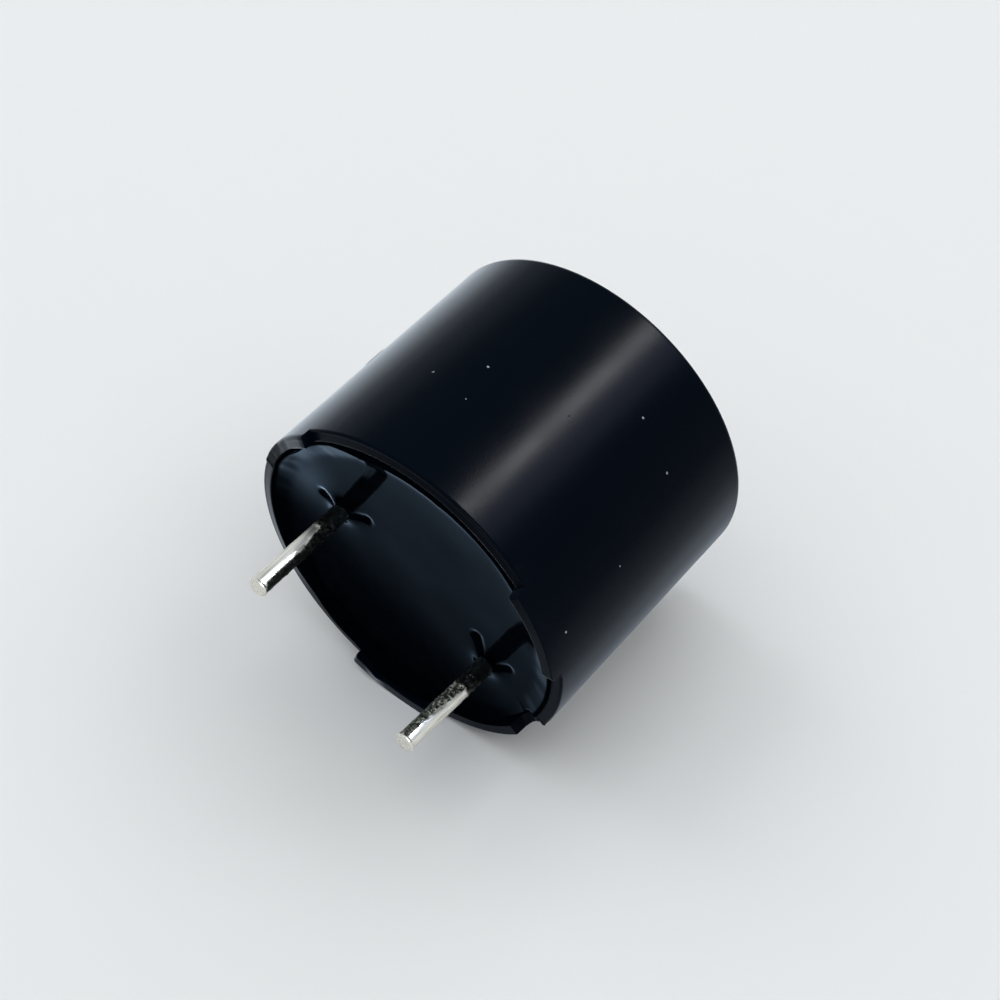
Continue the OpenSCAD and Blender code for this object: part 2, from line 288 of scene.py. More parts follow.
def cast_epoxy():
    """Epoxy cast glossy black: a near mirror, so the leads show in it, on a body with almost no colour."""
    material, tree = new_material("epoxy cast glossy black")
    coords = object_coords(tree)
    ripple = add_node(tree, "ShaderNodeTexNoise", inputs={"Scale": per_mm(1.1), "Detail": 2.0},
                      links={"Vector": coords})
    bump = add_node(tree, "ShaderNodeBump", inputs={"Strength": 0.1, "Distance": 0.01 * MM},
                    links={"Height": ripple.outputs["Fac"]})
    haze = add_node(tree, "ShaderNodeTexNoise", inputs={"Scale": per_mm(0.5), "Detail": 4.0},
                    links={"Vector": coords})
    rough = add_node(tree, "ShaderNodeMapRange", inputs={"To Min": 0.04, "To Max": 0.1},
                     links={"Value": haze.outputs["Fac"]})
    depth = add_node(tree, "ShaderNodeValToRGB", links={"Fac": haze.outputs["Fac"]})
    set_ramp(depth, [(0.35, "#010204"), (0.65, "#02050a")])
    # Painted highlight and painted shade in the resin's reflections, carried by this attribute
    gloss_and_painted_reflection = add_node(tree, "ShaderNodeAttribute", {"attribute_name": "gloss_and_painted_reflection"})
    shader = black_gloss(tree, 0.0, "#b5daff", SEAL_GLOSS, gloss_and_painted_reflection.outputs["Fac"],
                         {"Base Color": depth.outputs["Color"], "Roughness": rough.outputs["Result"],
                          "Normal": bump.outputs["Normal"]})
    finish_material(tree, shader)
    return material


def tinned_copper():
    """Copper wire tinned bright, with epoxy smeared on part of it: drawn streaks, and a dark mottled film."""
    material, tree = new_material("copper wire tinned bright")
    coords = object_coords(tree)
    drawn = add_node(tree, "ShaderNodeMapping", inputs={"Scale": (1.0, 1.0, 0.06)}, links={"Vector": coords})
    streaks = add_node(tree, "ShaderNodeTexNoise", inputs={"Scale": per_mm(0.06), "Detail": 3.0},
                       links={"Vector": drawn.outputs["Vector"]})
    tin_tone = add_node(tree, "ShaderNodeValToRGB", links={"Fac": streaks.outputs["Fac"]})
    set_ramp(tin_tone, [(0.3, "#bdbbb0"), (0.5, "#dedcd2"), (0.7, "#f2f0e8")])
    tin_rough = add_node(tree, "ShaderNodeMapRange", inputs={"To Min": 0.22, "To Max": 0.38},
                         links={"Value": streaks.outputs["Fac"]})
    specks = add_node(tree, "ShaderNodeTexNoise",
                      inputs={"Scale": per_mm(0.12), "Detail": 5.0, "Roughness": 0.85},
                      links={"Vector": coords})
    coat = add_node(tree, "ShaderNodeAttribute", {"attribute_name": "coat"})
    thin = add_node(tree, "ShaderNodeMath", {"operation": "MULTIPLY_ADD"}, inputs={1: -0.45, 2: 0.45},
                    links={0: coat.outputs["Fac"]})
    depth = add_node(tree, "ShaderNodeMath", {"operation": "ADD"},
                     links={0: specks.outputs["Fac"], 1: thin.outputs[0]})
    film_tone = add_node(tree, "ShaderNodeValToRGB", links={"Fac": depth.outputs[0]})
    set_ramp(film_tone, [(0.5, "#040505"), (0.58, "#0f1310"), (0.65, "#474d45"), (0.72, "#b4b7ae")])
    drips = add_node(tree, "ShaderNodeMapping", inputs={"Scale": (1.0, 1.0, 0.3)}, links={"Vector": coords})
    patches = add_node(tree, "ShaderNodeTexNoise",
                       inputs={"Scale": per_mm(0.22), "Detail": 4.0, "Roughness": 0.7},
                       links={"Vector": drips.outputs["Vector"]})
    edge = add_node(tree, "ShaderNodeMath", {"operation": "MULTIPLY_ADD"}, inputs={1: 1.4},
                    links={0: patches.outputs["Fac"], 2: coat.outputs["Fac"]})
    mask = add_node(tree, "ShaderNodeMapRange", inputs={"From Min": 1.15, "From Max": 1.28},
                    links={"Value": edge.outputs[0]})
    bump = add_node(tree, "ShaderNodeBump", inputs={"Strength": 0.5, "Distance": 0.012 * MM},
                    links={"Height": specks.outputs["Fac"]})
    tin = add_node(tree, "ShaderNodeBsdfPrincipled", inputs={"Metallic": 1.0},
                   links={"Base Color": tin_tone.outputs["Color"], "Roughness": tin_rough.outputs["Result"]})
    film = add_node(tree, "ShaderNodeBsdfPrincipled", inputs={"Roughness": 0.3, "Specular IOR Level": 0.3},
                    links={"Base Color": film_tone.outputs["Color"], "Normal": bump.outputs["Normal"]})
    both = add_node(tree, "ShaderNodeMixShader",
                    links={0: mask.outputs["Result"], 1: tin.outputs[0], 2: film.outputs[0]})
    finish_material(tree, both)
    return material


def plain_finish(name, low, high, metallic, roughness, grain_mm):
    """A finish of two close tones in noise of a real grain size."""
    material, tree = new_material(name)
    noise = add_node(tree, "ShaderNodeTexNoise", inputs={"Scale": per_mm(grain_mm), "Detail": 3.0},
                     links={"Vector": object_coords(tree)})
    tone = add_node(tree, "ShaderNodeValToRGB", links={"Fac": noise.outputs["Fac"]})
    set_ramp(tone, [(0.35, low), (0.65, high)])
    shader = add_node(tree, "ShaderNodeBsdfPrincipled", inputs={"Metallic": metallic, "Roughness": roughness},
                      links={"Base Color": tone.outputs["Color"]})
    finish_material(tree, shader)
    return material


def lint():
    """Cotton lint and dust, matt and pale."""
    return plain_finish("dust of pale lint", "#6f7274", "#a9adb0", 0.0, 0.9, 0.05)


def soot():
    """Soot, matt black grains stuck on the case."""
    return plain_finish("dust of black soot", "#060607", "#0f0f10", 0.0, 0.95, 0.05)


def table_top():
    """Painted board, plain and pale; seen from below it lets the eye through."""
    material, tree = new_material("board painted matt white")
    paint = add_node(tree, "ShaderNodeBsdfDiffuse", inputs={"Color": linear("#edeff0")})
    clear = add_node(tree, "ShaderNodeBsdfTransparent")
    side = add_node(tree, "ShaderNodeNewGeometry")
    both = add_node(tree, "ShaderNodeMixShader",
                    links={0: side.outputs["Backfacing"], 1: paint.outputs[0], 2: clear.outputs[0]})
    finish_material(tree, both)
    return material


# ---------------------------------------------------------------- mesh helpers


def lattice_noise(seed, *coords):
    """Smooth noise from -1 to 1 on a lattice of random values, one unit of coordinates to a cell."""
    rng = np.random.default_rng(seed)
    size = 64
    table = rng.uniform(-1.0, 1.0, (size,) * len(coords))
    cells = [np.floor(c).astype(int) for c in coords]
    steps = [(c - k) for c, k in zip(coords, cells)]
    steps = [s * s * (3 - 2 * s) for s in steps]
    total = 0.0
    for corner in range(2 ** len(coords)):
        picks = [(corner >> i) & 1 for i in range(len(coords))]
        weight = 1.0
        for pick, s in zip(picks, steps):
            weight = weight * (s if pick else 1 - s)
        total = total + weight * table[tuple((k + p) % size for k, p in zip(cells, picks))]
    return total


def merge_poles(mesh):
    """Joins the points that meet at a pole and turns every face outwards."""
    work = bmesh.new()
    work.from_mesh(mesh)
    bmesh.ops.remove_doubles(work, verts=work.verts, dist=1e-7)
    bmesh.ops.recalc_face_normals(work, faces=work.faces)
    work.to_mesh(mesh)
    work.free()


def ring_mesh(name, rings, material, closed_profile=False, attribute=None, sharp_deg=35.0):
    """Mesh from rows of rings: rings has the shape (rows, columns, 3), in mm, and columns run round once.

    A row whose points all meet is a pole. attribute is a name and its values, of the shape (rows, columns).
    """
    rows, columns = rings.shape[:2]
    points = (rings * MM).reshape(-1, 3)
    index = np.arange(rows * columns).reshape(rows, columns)
    beside = np.roll(index, -1, axis=1)
    last = rows if closed_profile else rows - 1
    faces = []
    for i in range(last):
        j = (i + 1) % rows
        faces.append(np.stack([index[i], beside[i], beside[j], index[j]], axis=1))
    mesh = bpy.data.meshes.new(name)
    mesh.from_pydata(points.tolist(), [], np.concatenate(faces).tolist())
    if attribute:
        layer = mesh.attributes.new(attribute[0], "FLOAT", "POINT")
        layer.data.foreach_set("value", attribute[1].astype(np.float32).ravel())
    merge_poles(mesh)
    mesh.materials.append(material)
    mesh.polygons.foreach_set("use_smooth", [True] * len(mesh.polygons))
    mesh.set_sharp_from_angle(angle=math.radians(sharp_deg))
    piece = bpy.data.objects.new(name, mesh)
    bpy.context.scene.collection.objects.link(piece)
    return piece


def turned(az, r, z):
    """Points at azimuths az, in degrees, with radii and heights that broadcast against them."""
    a = np.radians(az)
    r, z = np.broadcast_arrays(r, z)
    r, z = np.broadcast_to(r, a.shape), np.broadcast_to(z, a.shape)
    return np.stack([r * np.cos(a), r * np.sin(a), z], axis=-1)


def off_degrees(az, middle):
    """Signed angle from middle to az, in degrees."""
    return (az - middle + 180.0) % 360.0 - 180.0


def within(az, middle, reach):
    """Whether each azimuth lies less than reach degrees from middle."""
    return np.abs(off_degrees(az, middle)) < reach


def fading(az, middle, reach, fade):
    """0 from reach degrees off middle, rising to 1 over fade degrees towards it."""
    return np.clip((reach - np.abs(off_degrees(az, middle))) / fade, 0.0, 1.0)


# ---------------------------------------------------------------- case


def standoff_rise(az):
    """Height of the standoffs above the rim, with rounded shoulders and one of them worn to a slope."""
    rise = np.zeros_like(az)
    half = STANDOFF_ARC / 2
    per_degree = math.radians(1.0) * CASE_R
    for k, middle in enumerate(STANDOFF_AT):
        off = off_degrees(az, middle)
        into_corner = np.clip((np.abs(off) - half) * per_degree + STANDOFF_CORNER, 0.0, STANDOFF_CORNER)
        top = STANDOFF_H - (STANDOFF_CORNER - np.sqrt(STANDOFF_CORNER**2 - into_corner**2))
        if k == WORN_STANDOFF:
            hump = np.interp(off, *zip(*WORN_HEIGHT))
            rough = 0.02 * lattice_noise(11, off * 0.3) + 0.005 * lattice_noise(12, off * 1.1)
            top = np.minimum(top, hump + rough * np.clip((off - 1.0) / 4.0, 0.0, 1.0))
        rise = np.where(np.abs(off) <= half, np.maximum(top, 0.0), rise)
    return rise


def chip_drop(az):
    """Depth of the broken notch below the rim."""
    s = np.radians(off_degrees(az, CHIP_AT)) * CASE_R / CHIP_W
    return CHIP_DEPTH * np.interp(s, *zip(*CHIP_OUTLINE), left=0.0, right=0.0)


def case_azimuths():
    """Even steps round the case, closer at the ends of the standoffs and in the chip."""
    steps = list(np.arange(-180.0, 180.0, 0.9))
    for middle in STANDOFF_AT:
        for side in (-1, 1):
            end = middle + side * STANDOFF_ARC / 2
            steps += [end - side * d for d in (0.0, 0.15, 0.3, 0.5, 0.75, 1.0, 1.3)] + [end + side * 0.02]
    steps += list(np.arange(CHIP_AT - 9.0, CHIP_AT + 12.0, 0.3))
    return np.unique(np.round([off_degrees(s, 0.0) for s in steps], 3))


def rim_edges(az):
    """Heights of the rim's outer and inner edge and how far each is rounded, torn where the chip is."""
    drop = chip_drop(az)
    broken = drop > 0.0
    torn_out = lattice_noise(21, az * 0.7) + 0.3 * lattice_noise(22, az * 1.9)
    torn_in = lattice_noise(23, az * 0.6) + 0.3 * lattice_noise(24, az * 1.7)
    top_out = RIM_Z + standoff_rise(az) - drop + np.where(broken, TORN_OUT * torn_out, 0.0)
    top_in = RIM_Z + standoff_rise(az) - drop * CHIP_SLANT + np.where(broken, TORN_IN * torn_in, 0.0)
    lean = fading(az, *LEANING_SIDE)
    lean = lean + np.maximum(0.0, 1.5 - np.abs(off_degrees(az, LEANING_NICK)) / 3.0)
    top_in = top_in + np.where(broken, 0.0, RIM_LEAN * lean)
    crisp = within(az, *CRISP_SIDE) | within(az, *CRISP_STANDOFF)
    whole = np.where(crisp, BEVEL_CRISP, np.where(within(az, *WORN_CORNER), BEVEL_WORN, BEVEL_OUT))
    bevel_out = np.where(broken, BEVEL_BROKEN, whole)
    bevel_in = np.where(broken, BEVEL_BROKEN, BEVEL_IN)
    return top_out, top_in, bevel_out, bevel_in


def quarter_round(az, r, top, bevel, way, angles):
    """Rows round an edge of the rim at radius r; way is -1 where it rounds inwards and 1 outwards."""
    turns = [math.radians(angle) for angle in angles]
    return [turned(az, r + way * bevel * (1 - math.cos(a)), top - bevel * (1 - math.sin(a))) for a in turns]


def add_case(material):
    az = case_azimuths()
    top_out, top_in, bevel_out, bevel_in = rim_edges(az)
    worn_off = off_degrees(az, STANDOFF_AT[WORN_STANDOFF])
    rubbed = np.clip((worn_off - 3.0) / 5.0, 0.0, 1.0) * fading(az, *WORN_STRETCH)

    rows = [turned(az, SOUND_HOLE_R, 0.0), turned(az, CASE_R - FACE_ROUND - 0.03, 0.0)]
    for angle in (0, 30, 60, 90):
        a = math.radians(angle)
        rows.append(turned(az, CASE_R - FACE_ROUND * (1 - math.sin(a)), FACE_ROUND * (1 - math.cos(a))))
    rows.append(turned(az, CASE_R, FACE_ROUND + 0.04))
    rows.append(turned(az, CASE_R, CASE_MIDDLE_Z))
    rows.append(turned(az, CASE_R, RIM_Z - CHIP_DEPTH - 0.12))
    rim_from = len(rows)
    rows.append(turned(az, CASE_R, top_out - bevel_out - 0.02))
    rows += quarter_round(az, CASE_R, top_out, bevel_out, -1, (0, 22.5, 45, 67.5, 90))
    top_from = len(rows)
    for t in np.linspace(0.0, 1.0, 7):
        r = (1 - t) * (CASE_R - bevel_out - 0.02) + t * (BORE_R + bevel_in + 0.02)
        pits = 0.008 * lattice_noise(13, az * 1.1 + 300.0, np.full_like(az, t * 4.0 + 1.5))
        z = (1 - t) * top_out + t * top_in + pits * rubbed * min(1.0, 5 * t, 5 - 5 * t)
        rows.append(turned(az, r, z))
    rows += quarter_round(az, BORE_R, top_in, bevel_in, 1, (90, 60, 30, 0))
    rows.append(turned(az, BORE_R, top_in - bevel_in - 0.03))
    rim_to = len(rows)
    rows.append(turned(az, BORE_R, LEDGE_Z))
    rows.append(turned(az, CHAMBER_R, LEDGE_Z))
    rows.append(turned(az, CHAMBER_R, FACE_T))
    rows.append(turned(az, SOUND_HOLE_R, FACE_T))
    rings = np.stack(rows)

    worn = np.zeros(rings.shape[:2])
    # Painted shade: the reflections along one side of the case are dimmed over its whole height
    worn[1:] = WEAR_AND_SHADE_DULL * fading(az, *PAINTED_SHADE_SIDE)
    edge, rim = slice(rim_from, top_from), slice(rim_from, rim_to)
    worn[edge] = np.maximum(worn[edge], WEAR_SCUFFED_SIDE * within(az, *SCUFFED_SIDE))
    worn[rim] = np.maximum(worn[rim], WEAR_SCUFFED_STANDOFF * within(az, *SCUFFED_STANDOFF))
    worn[rim] = np.maximum(worn[rim], np.maximum(rubbed, WEAR_CHIP * (chip_drop(az) > 0.0)))
    piece = ring_mesh("case_shell", rings, material, closed_profile=True, attribute=("worn", worn))
    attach(piece, "root")
    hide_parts("case")


# ---------------------------------------------------------------- seal


def soft_ramp(x):
    """Zero below 0 and x above it, with a rounded corner about 2 wide."""
    return np.maximum(x, 0.0) + np.log1p(np.exp(-np.abs(x)))


def lobe_distance(x, y):
    """Distance to the edge of the nearest lobe, less than 0 inside it."""
    nearest = np.full_like(x, 9.0)
    for lead, direction, reach, half_width in LOBES:
        a = math.radians(direction)
        u = (x - LEAD_X[lead]) * math.cos(a) + y * math.sin(a)
        v = -(x - LEAD_X[lead]) * math.sin(a) + y * math.cos(a)
        along = np.clip(u, LOBE_START, reach - half_width)
        radius = half_width * (0.5 + 0.5 * (along - LOBE_START) / (reach - half_width - LOBE_START))
        nearest = np.minimum(nearest, np.hypot(u - along, v) - radius)
    return nearest


def seal_height(x, y):
    """Height of the resin's surface: a dish, drawn up at the wall, at the standoffs and round the leads."""
    r, az = np.hypot(x, y), np.degrees(np.arctan2(y, x))
    wall = BORE_R - r
    ragged = 1.0 + 0.2 * lattice_noise(31, az / 14.0 + 40.0) + 0.05 * lattice_noise(32, az / 4.0 + 160.0)
    height = r**2 / (2 * DISH_R) - DISH_DEPTH + WALL_RISE * np.exp(-wall / WALL_REACH)
    height = height + WALL_SLOPE * WALL_FOOT * soft_ramp((WALL_FILLET * ragged - wall) / WALL_FOOT)
    for middle in STANDOFF_AT:
        near = np.exp(-((off_degrees(az, middle) / STANDOFF_CLIMB_ARC) ** 4))
        height = height + STANDOFF_CLIMB * near * np.exp(-wall / STANDOFF_CLIMB)
    for x0 in LEAD_X:
        d = np.maximum(np.hypot(x - x0, y), LEAD_R * 0.8)
        height = height + LEAD_CLIMB_SLOPE * LEAD_CLIMB_FOOT * soft_ramp((LEAD_CLIMB_R - d) / LEAD_CLIMB_FOOT)
        height = height + LEAD_CLIMB_TAIL * np.log(1.0 + 1.0 / d**2)
    height = height - LOBE_DEPTH / (1.0 + np.exp(lobe_distance(x, y) / LOBE_DEPTH))
    height = height + RIPPLE * lattice_noise(33, x * 0.8 + 20, y * 0.8 + 20)
    broken = (chip_drop(az) > 0.02) & (r > BORE_R - 0.3)
    floor = -chip_drop(az) * 0.95 + (RIM_Z - SEAL_Z)
    return SEAL_Z + np.where(broken, np.minimum(height, floor), height)


def gloss_patch(x, y, at_x, at_y, reach_x, reach_y):
    """1 at a place on the resin, fading away round it."""
    return np.exp(-(((x - at_x) / reach_x) ** 2) - ((y - at_y) / reach_y) ** 2)


def seal_gloss_and_painted_reflection(x, y):
    """Share of its gloss that the resin keeps, painting its reflections: more towards -Y and painted shade
    towards +Y, painted shade by the wall and in the lobes, and painted highlights in a patch and round the
    lobes.
    """
    to_wall = BORE_R - np.hypot(x, y)
    # Painted shade: a dark band by the wall, wider on one side
    wide = fading(np.degrees(np.arctan2(y, x)), *WIDE_PAINTED_SHADE_SIDE)
    painted_shade_width = WALL_PAINTED_SHADE[0] + (WALL_PAINTED_SHADE[1] - WALL_PAINTED_SHADE[0]) * wide
    # Painted shade: the reflections fade towards +Y
    near = np.clip((PAINTED_SHADE_Y - y) / (PAINTED_SHADE_Y - PAINTED_SHADE_END_Y), 0.0, 1.0)
    level = PAINTED_SHADE_LEAST + (1 - PAINTED_SHADE_LEAST) * near**2 * (3 - 2 * near)
    gloss_and_painted_reflection = np.clip((to_wall - painted_shade_width) / 0.06 + 0.5, 0.0, 1.0) * level
    # Painted highlight in one patch, then painted shade in the others
    *place, amount = SEAL_PAINTED_HIGHLIGHT
    gloss_and_painted_reflection = gloss_and_painted_reflection + amount * gloss_patch(x, y, *place) * np.clip((to_wall - 0.1) / 0.1, 0.0, 1.0)
    for *place, amount in SEAL_PAINTED_SHADE:
        gloss_and_painted_reflection = gloss_and_painted_reflection * (1.0 - amount * gloss_patch(x, y, *place))
    # Painted shade: no gloss inside the lobes, and a painted highlight round their edges
    lobe = lobe_distance(x, y)
    painted_lobe_highlight = np.exp(-(((lobe - 0.05) / 0.06) ** 2))
    return gloss_and_painted_reflection * (1.0 / (1.0 + np.exp(-lobe / 0.02)) + 0.9 * painted_lobe_highlight)


def add_seal(material):
    az = np.arange(-180.0, 180.0, 0.6)
    radii = np.concatenate([
        np.linspace(0.02, 1.8, 12), np.linspace(1.85, 4.6, 72), np.linspace(4.66, 5.1, 8),
        np.linspace(5.13, SEAL_R, 17),
    ])
    rows = [turned(az, 0.0, float(seal_height(np.array([0.0]), np.array([0.0]))[0]))]
    for r in radii:
        a = np.radians(az)
        rows.append(turned(az, r, seal_height(r * np.cos(a), r * np.sin(a))))
    rows.append(turned(az, SEAL_R, SEAL_BACK_Z))
    rows.append(turned(az, 0.0, SEAL_BACK_Z))
    rings = np.stack(rows)
    # Painted highlight and painted shade for the resin's gloss
    gloss_and_painted_reflection = seal_gloss_and_painted_reflection(rings[..., 0], rings[..., 1])
    piece = ring_mesh("resin_seal", rings, material, attribute=("gloss_and_painted_reflection", gloss_and_painted_reflection), sharp_deg=75.0)
    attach(piece, "root")
    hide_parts("base_seal")


# ---------------------------------------------------------------- leads

# Film of resin on a lead: the side of X that it is on and how much it leaves free there, the height below
# which it widens, over what length and by how much, its end by the tip, the height below which it goes all
# round, and its cover
FILM_1 = {"side": -1, "free": 0.15, "widen_at": 11.2, "widen_over": 1.2, "widen_by": 0.7,
          "end": 12.75, "end_over": 0.3, "end_drop": 2.0, "round_at": 10.3, "round_over": 0.25, "cover": 1.0}
FILM_2 = {"side": 1, "free": 0.2, "widen_at": 11.6, "widen_over": 1.5, "widen_by": 0.6,
          "end": 12.9, "end_over": 0.15, "end_drop": 1.0, "round_at": 10.5, "round_over": 0.3, "cover": 0.72}
FILM_T = 0.012
FILM_LUMPS = 0.014

# Cut end of a lead: how far it is flared, how much the cut slants, and its rows, each inset and set down
END_FLARE = 0.03
END_SLANT = 0.05
END_ROWS = ((0.0, 0.045), (0.02, 0.015), (0.05, 0.0), (0.14, 0.012), (0.22, 0.03), (LEAD_R + END_FLARE, 0.02))
BEND_Z = 9.9


def film_cover(phi, z, film):
    """How well the resin covers a lead: along one side of it, and all round near the seal; 1 is whole."""
    widened = np.clip((film["widen_at"] - z) / film["widen_over"], 0.0, 1.0) * film["widen_by"]
    side = film["side"] * np.cos(phi) - film["free"] + widened
    back = np.sin(phi) * 1.5
    tip = np.clip((z - film["end"]) / film["end_over"], 0.0, 1.0) * film["end_drop"]
    strip = np.clip(0.5 + (np.maximum(side, back) * 2.0 - tip), 0.0, film["cover"])
    return np.maximum(strip, np.clip(0.5 + (film["round_at"] - z) / film["round_over"], 0.0, 1.0))


def add_lead(name, x, lean, film, seed, node, material):
    """Round wire from inside the seal to its cut end, with a raised, lumpy film where resin coats it."""
    phi = np.radians(np.arange(0.0, 360.0, 6.0))
    heights = np.concatenate([np.linspace(8.8, 9.8, 8), np.linspace(9.84, TIP_Z - 0.13, 78)])
    rows, coats = [], []
    for z in heights:
        coat = film_cover(phi, z, film)
        lumps = lattice_noise(seed, phi * 3.0 + 9, np.full_like(phi, z * 7.0))
        lumps = lumps + 0.6 * lattice_noise(seed + 1, phi * 8.0 + 9, np.full_like(phi, z * 19.0))
        dents = 0.004 * lattice_noise(seed + 2, phi * 1.5 + 5, np.full_like(phi, z * 2.2))
        flare = END_FLARE * np.clip((z - (TIP_Z - 0.3)) / 0.3, 0.0, 1.0) ** 2
        r = LEAD_R + dents + flare + coat * (FILM_T + FILM_LUMPS * lumps)
        at_x = x + lean * np.clip((z - BEND_Z) / (TIP_Z - BEND_Z), 0.0, 1.0)
        rows.append(np.stack([at_x + r * np.cos(phi), r * np.sin(phi), np.full_like(phi, z)], axis=-1))
        coats.append(coat)
    end_r = LEAD_R + END_FLARE
    cut = END_SLANT * (1 - np.cos(phi - 2.0)) / 2 + 0.012 * (1 + lattice_noise(seed + 4, phi * 1.6 + 5))
    for inset, down in END_ROWS:
        r = (end_r - inset) * (1 + 0.05 * lattice_noise(seed + 3, phi * 1.2 + 5))
        middle = inset == end_r
        z = TIP_Z - down - (cut.mean() if middle else cut * (1 - inset / end_r))
        r = 0.0 * r if middle else r
        z = np.broadcast_to(z, phi.shape)
        rows.append(np.stack([x + lean + r * np.cos(phi), r * np.sin(phi), z], axis=-1))
        coats.append(np.zeros_like(phi))
    foot = (np.full_like(phi, x), np.zeros_like(phi), np.full_like(phi, heights[0]))
    rows.insert(0, np.stack(foot, axis=-1))
    coats.insert(0, coats[0])
    piece = ring_mesh(name, np.stack(rows), material, attribute=("coat", np.stack(coats)), sharp_deg=50.0)
    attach(piece, "root")
    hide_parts(node)


# ---------------------------------------------------------------- dust

# Azimuth, height and size of each speck on the side of the case
SPECKS = (
    (-45.5, 5.95, 0.05), (-57.9, 4.93, 0.055), (-60.8, 6.34, 0.04), (-100.5, 2.68, 0.06),
    (-118.0, 3.0, 0.045), (-129.3, 6.06, 0.045), (-131.9, 8.82, 0.05),
)
DARK_SPECKS = (
    (-85.3, 4.61, 0.09), (-81.4, 4.02, 0.07), (-85.5, 4.98, 0.03), (-84.0, 2.67, 0.03),
    (-86.4, 5.86, 0.035), (-131.7, 4.73, 0.035),
)

# Thin line of soot along the side of the case, as specks that run into each other
SOOT_LINE = tuple((-4.7, 4.5 + 0.04 * k, 0.05) for k in range(20))


def speck_scatter(material):
    """Geometry Nodes: a small flattened lump on each point, at the size that the point carries."""
    tree = bpy.data.node_groups.new("speck scatter", "GeometryNodeTree")
    tree.interface.new_socket("Geometry", in_out="INPUT", socket_type="NodeSocketGeometry")
    size = tree.interface.new_socket("Size", in_out="INPUT", socket_type="NodeSocketFloat")
    seed = tree.interface.new_socket("Seed", in_out="INPUT", socket_type="NodeSocketInt")
    tree.interface.new_socket("Geometry", in_out="OUTPUT", socket_type="NodeSocketGeometry")
    given = add_node(tree, "NodeGroupInput")
    lump = add_node(tree, "GeometryNodeMeshIcoSphere", inputs={"Radius": 1.0, "Subdivisions": 2})
    out = add_node(tree, "GeometryNodeInputNamedAttribute", {"data_type": "FLOAT_VECTOR"},
                   inputs={"Name": "outward"})
    turn = add_node(tree, "FunctionNodeAlignRotationToVector", {"axis": "Z"},
                    links={"Vector": out.outputs[0]})
    squash = add_node(tree, "FunctionNodeRandomValue", {"data_type": "FLOAT_VECTOR"},
                      inputs={0: (0.6, 0.5, 0.4), 1: (1.0, 1.0, 0.5)}, links={"Seed": given.outputs["Seed"]})
    own = add_node(tree, "GeometryNodeInputNamedAttribute", {"data_type": "FLOAT"},
                   inputs={"Name": "speck_size"})
    scale = add_node(tree, "ShaderNodeVectorMath", {"operation": "SCALE"},
                     links={0: squash.outputs[0], "Scale": own.outputs[0]})
    sized = add_node(tree, "ShaderNodeVectorMath", {"operation": "SCALE"},
                     links={0: scale.outputs[0], "Scale": given.outputs["Size"]})
    placed = add_node(tree, "GeometryNodeInstanceOnPoints",
                      links={"Points": given.outputs["Geometry"], "Instance": lump.outputs["Mesh"],
                             "Rotation": turn.outputs[0], "Scale": sized.outputs[0]})
    real = add_node(tree, "GeometryNodeRealizeInstances", links={"Geometry": placed.outputs[0]})
    dressed = add_node(tree, "GeometryNodeSetMaterial", inputs={"Material": material},
                       links={"Geometry": real.outputs[0]})
    add_node(tree, "NodeGroupOutput", links={0: dressed.outputs[0]})
    return tree, size.identifier, seed.identifier


def add_dust(name, specks, sunk, seed, material):
    """Lumps stuck on the side of the case, each sunk into it by a share of its size."""
    az, z, size = (np.array(c) for c in zip(*specks))
    mesh = bpy.data.meshes.new("dust_points")
    mesh.from_pydata((turned(az, CASE_R - sunk * size, z) * MM).tolist(), [], [])
    mesh.attributes.new("speck_size", "FLOAT", "POINT").data.foreach_set("value", size.astype(np.float32))
    outward = turned(az, 1.0, 0.0).astype(np.float32)
    mesh.attributes.new("outward", "FLOAT_VECTOR", "POINT").data.foreach_set("vector", outward.ravel())
    points = bpy.data.objects.new("dust_points", mesh)
    bpy.context.scene.collection.objects.link(points)
    tree, size_input, seed_input = speck_scatter(material)
    scatter = points.modifiers.new("scatter", "NODES")
    scatter.node_group = tree
    scatter[size_input] = MM
    scatter[seed_input] = seed
    bpy.context.view_layer.update()
    result = bpy.data.meshes.new_from_object(points.evaluated_get(bpy.context.evaluated_depsgraph_get()))
    points.modifiers.remove(scatter)
    bpy.data.objects.remove(points)
    piece = bpy.data.objects.new(name, result)
    bpy.context.scene.collection.objects.link(piece)
    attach(piece, "root")


# ---------------------------------------------------------------- inside


